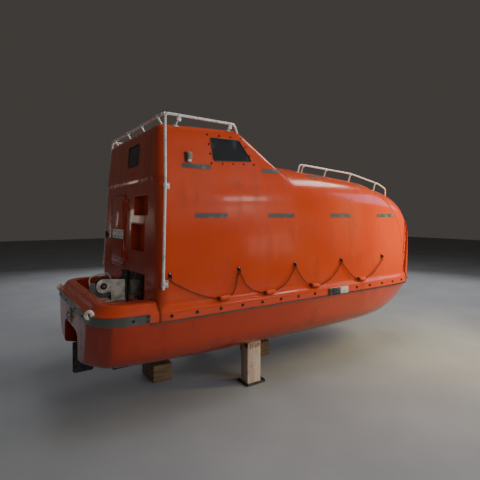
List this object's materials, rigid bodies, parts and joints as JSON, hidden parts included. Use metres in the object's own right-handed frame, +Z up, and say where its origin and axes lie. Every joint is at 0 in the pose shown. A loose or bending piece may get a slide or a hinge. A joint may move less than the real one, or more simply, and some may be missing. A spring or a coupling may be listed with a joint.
{
  "type": "totally enclosed lifeboat",
  "caption": "Totally enclosed rigid lifeboat with an aft steering tower, release hooks, becketed lifelines and handrails, standing on its yard posts and keel blocks.",
  "frame": {"origin": "on the floor, under the middle of the boat's length and beam", "axes": "+X to the bow, +Y to port, +Z up"},
  "size_m": [5.0443, 2.28, 3.0504],
  "materials": {
    "gelcoat_orange": "glossy orange gelcoat on glass-fibre moulding",
    "float_plastic": "orange foam floats with dark worn ends",
    "rope": "dark twisted rope",
    "window_glass": "dark tinted acrylic pane",
    "stainless": "stainless steel, lightly brushed",
    "lamp_housing": "white lamp housing with a dark foot",
    "hook_steel": "dark painted steel",
    "bronze": "cast propeller bronze",
    "engine_iron": "painted cast iron, one plain block",
    "stand_steel": "beige painted yard post",
    "timber": "rough sawn timber block"
  },
  "bodies": {
    "boat": {"aft_deck": "gelcoat_orange", "aft_hook": "stainless", "aft_hook_bracket": "hook_steel", "aft_top_rail": "stainless", "aft_wall_sheet": "stainless", "aft_window": "window_glass", "bow_moulding": "gelcoat_orange", "canopy": "gelcoat_orange", "canopy_bow": "gelcoat_orange", "canopy_rail_port": "stainless", "canopy_rail_starboard": "stainless", "engine": "engine_iron", "forward_hook": "stainless", "forward_hook_bracket": "hook_steel", "handrail_port": "stainless", "handrail_starboard": "stainless", "hull": "gelcoat_orange", "keel": "hook_steel", "keel_block_aft": "timber", "keel_block_forward": "timber", "lifeline_float_port_1": "float_plastic", "lifeline_float_port_2": "float_plastic", "lifeline_float_port_3": "float_plastic", "lifeline_float_port_4": "float_plastic", "lifeline_float_starboard_1": "float_plastic", "lifeline_float_starboard_2": "float_plastic", "lifeline_float_starboard_3": "float_plastic", "lifeline_float_starboard_4": "float_plastic", "lifeline_port": "rope", "lifeline_starboard": "rope", "propeller_shaft": "stainless", "rub_rail_port": "stainless", "rub_rail_starboard": "stainless", "side_fitting_port": "stainless", "side_fitting_starboard": "stainless", "side_lamp_port": "lamp_housing", "side_lamp_starboard": "lamp_housing", "stand_post_port": "stand_steel", "stand_post_starboard": "stand_steel", "steering_tower": "gelcoat_orange", "stern_band": "stainless", "tower_window_port": "window_glass", "tower_window_starboard": "window_glass", "towing_eye": "stainless", "windscreen_port": "window_glass", "windscreen_starboard": "window_glass"},
    "propeller_body": {"propeller": "bronze"},
    "rudder_body": {"rudder": "hook_steel"},
    "aft_door_body": {"aft_door": "gelcoat_orange"},
    "roof_hatch_body": {"roof_hatch": "gelcoat_orange"},
    "bow_hatch_body": {"bow_hatch": "gelcoat_orange"}
  },
  "joints": [
    {"name": "propeller_spin", "type": "hinge", "parent": "boat", "child": "propeller_body", "pos_m": [-2.15, 0, 0.42], "axis": [1, 0, 0], "continuous": true},
    {"name": "rudder_turn", "type": "hinge", "parent": "boat", "child": "rudder_body", "pos_m": [-2.33, 0, 0.45], "axis": [0, 0, 1], "range_deg": [-35, 35]},
    {"name": "aft_door_swing", "type": "hinge", "parent": "boat", "child": "aft_door_body", "pos_m": [-1.90396, 0.026, 1.5], "axis": [0.028, 0, 0.9996], "range_deg": [0, 100]},
    {"name": "roof_hatch_lift", "type": "hinge", "parent": "boat", "child": "roof_hatch_body", "pos_m": [-1.004, 0, 2.99339], "axis": [0, 1, 0], "range_deg": [0, 100]},
    {"name": "bow_hatch_lift", "type": "hinge", "parent": "boat", "child": "bow_hatch_body", "pos_m": [1.946, 0, 2.076], "axis": [0, -1, 0], "range_deg": [0, 95]}
  ]
}
